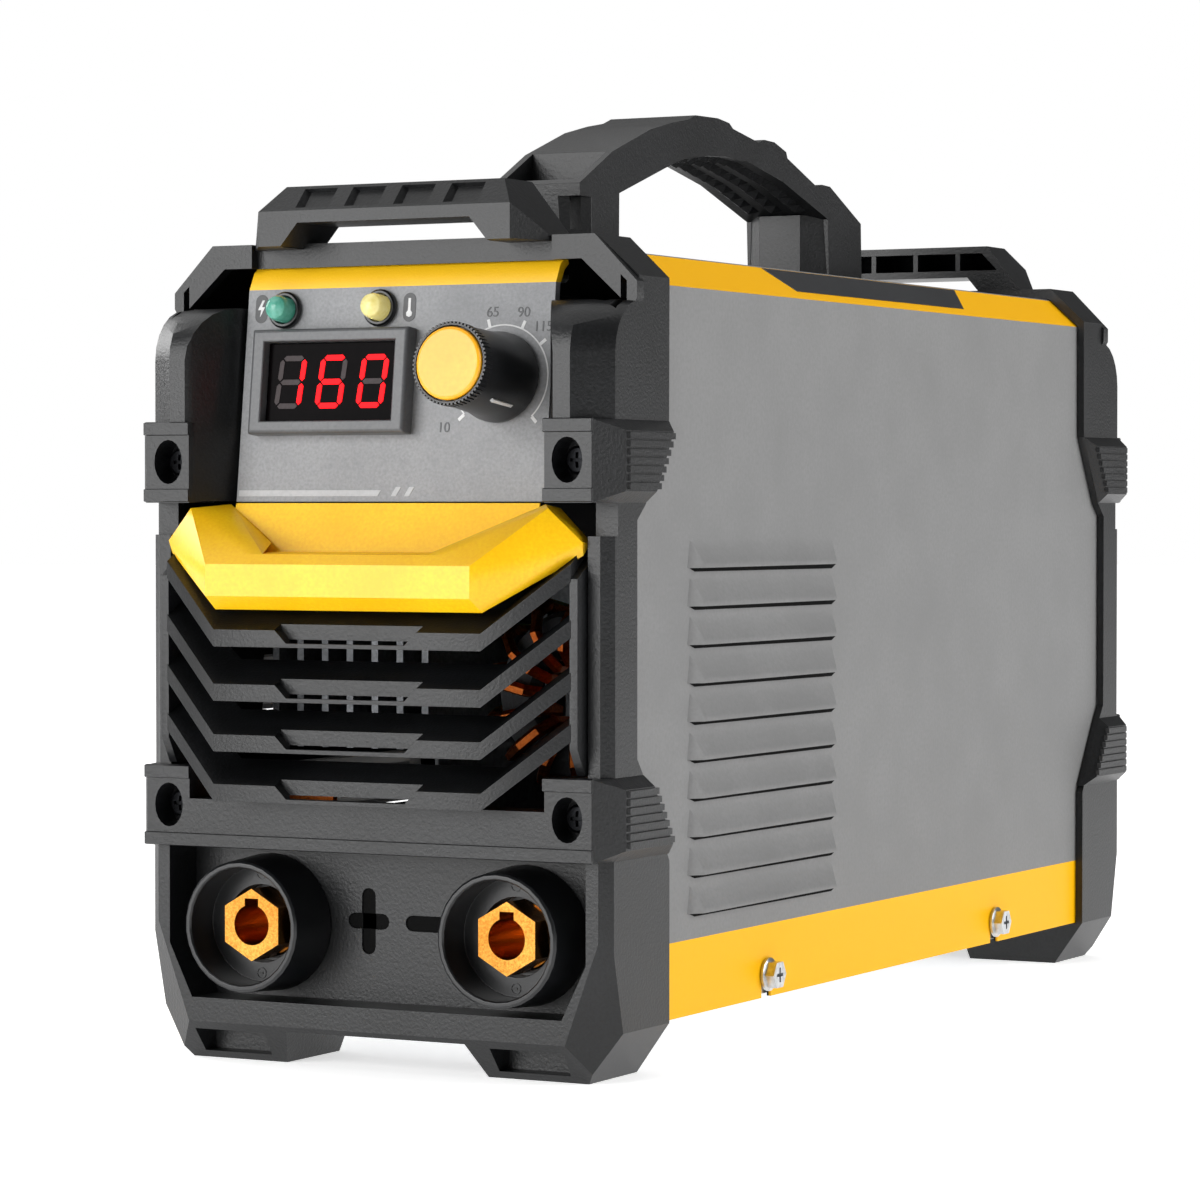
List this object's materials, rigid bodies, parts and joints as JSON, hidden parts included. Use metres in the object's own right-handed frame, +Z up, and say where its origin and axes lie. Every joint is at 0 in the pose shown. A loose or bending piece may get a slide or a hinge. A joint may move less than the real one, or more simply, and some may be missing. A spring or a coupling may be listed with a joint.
{
  "type": "stick welding inverter",
  "caption": "Portable stick welding inverter with moulded end frames, carry handle, current knob, digital meter, louvred cover and twin weld sockets.",
  "frame": {"origin": "on the ground under the middle of the machine's outer box", "axes": "+X to the right seen from the front, +Y towards the rear, +Z up; the control panel faces -Y"},
  "size_m": [0.1468, 0.3896, 0.2612],
  "materials": {
    "frame_plastic": "textured black moulded plastic",
    "sleeve_plastic": "satin black moulded plastic",
    "yellow_plastic": "satin yellow moulded plastic",
    "bezel_plastic": "grey moulded plastic",
    "panel_overlay": "grey grained panel with a yellow band",
    "cover_paint": "grey powder coat with yellow bands",
    "zinc_steel": "bright zinc plate",
    "sheet_steel": "bare rolled sheet",
    "socket_brass": "turned and milled",
    "copper": "drawn copper",
    "sink_aluminium": "extruded",
    "board_laminate": "green solder mask",
    "ferrite": "sintered",
    "meter_filter": "dark red filter",
    "lens_green": "clear green",
    "lens_yellow": "clear yellow"
  },
  "bodies": {
    "machine": {"front_frame": "frame_plastic", "rear_frame": "frame_plastic", "front_grille": "frame_plastic", "carry_handle": "frame_plastic", "meter_module": "frame_plastic", "chin_guard": "yellow_plastic", "power_lamp_ring": "sleeve_plastic", "heat_lamp_ring": "sleeve_plastic", "socket_positive_housing": "sleeve_plastic", "socket_negative_housing": "sleeve_plastic", "switch_body": "sleeve_plastic", "cable_gland": "sleeve_plastic", "fan_frame": "sleeve_plastic", "bus_capacitor_1": "sleeve_plastic", "bus_capacitor_2": "sleeve_plastic", "meter_bezel": "bezel_plastic", "control_panel": "panel_overlay", "housing_cover": "cover_paint", "potentiometer": "zinc_steel", "fan_guard": "zinc_steel", "handle_screw_front": "zinc_steel", "handle_screw_rear": "zinc_steel", "corner_screw_front_lower_left": "zinc_steel", "corner_screw_front_lower_right": "zinc_steel", "corner_screw_front_upper_left": "zinc_steel", "corner_screw_front_upper_right": "zinc_steel", "corner_screw_rear_lower_left": "zinc_steel", "corner_screw_rear_lower_right": "zinc_steel", "corner_screw_rear_upper_left": "zinc_steel", "corner_screw_rear_upper_right": "zinc_steel", "side_screw_front_left": "zinc_steel", "side_screw_front_right": "zinc_steel", "side_screw_rear_left": "zinc_steel", "side_screw_rear_right": "zinc_steel", "base_pan": "sheet_steel", "board_bracket_left": "sheet_steel", "board_bracket_right": "sheet_steel", "choke_bracket": "sheet_steel", "socket_positive_insert": "socket_brass", "socket_negative_insert": "socket_brass", "socket_positive_nut": "socket_brass", "socket_negative_nut": "socket_brass", "busbar_positive": "copper", "busbar_negative": "copper", "transformer_winding": "copper", "choke_winding": "copper", "heat_sink_left": "sink_aluminium", "heat_sink_right": "sink_aluminium", "main_board": "board_laminate", "control_board": "board_laminate", "transformer_core": "ferrite", "choke_core": "ferrite", "meter_window": "meter_filter", "power_lamp": "lens_green", "heat_lamp": "lens_yellow"},
    "knob": {"knob_body": "sleeve_plastic", "knob_cap": "yellow_plastic", "knob_shaft": "zinc_steel"},
    "rocker": {"switch_rocker": "yellow_plastic"},
    "fan": {"fan_rotor": "frame_plastic"}
  },
  "joints": [
    {"name": "knob_turn", "type": "hinge", "parent": "machine", "child": "knob", "pos_m": [0.032, -0.16503, 0.1803], "axis": [0, -0.9934, 0.1145], "range_deg": [0, 280]},
    {"name": "power_rocker", "type": "hinge", "parent": "machine", "child": "rocker", "pos_m": [0.03, 0.1756, 0.178], "axis": [1, 0, 0], "range_deg": [0, 24]},
    {"name": "fan_spin", "type": "hinge", "parent": "machine", "child": "fan", "pos_m": [0, 0.1576, 0.104], "axis": [0, 1, 0], "continuous": true}
  ]
}
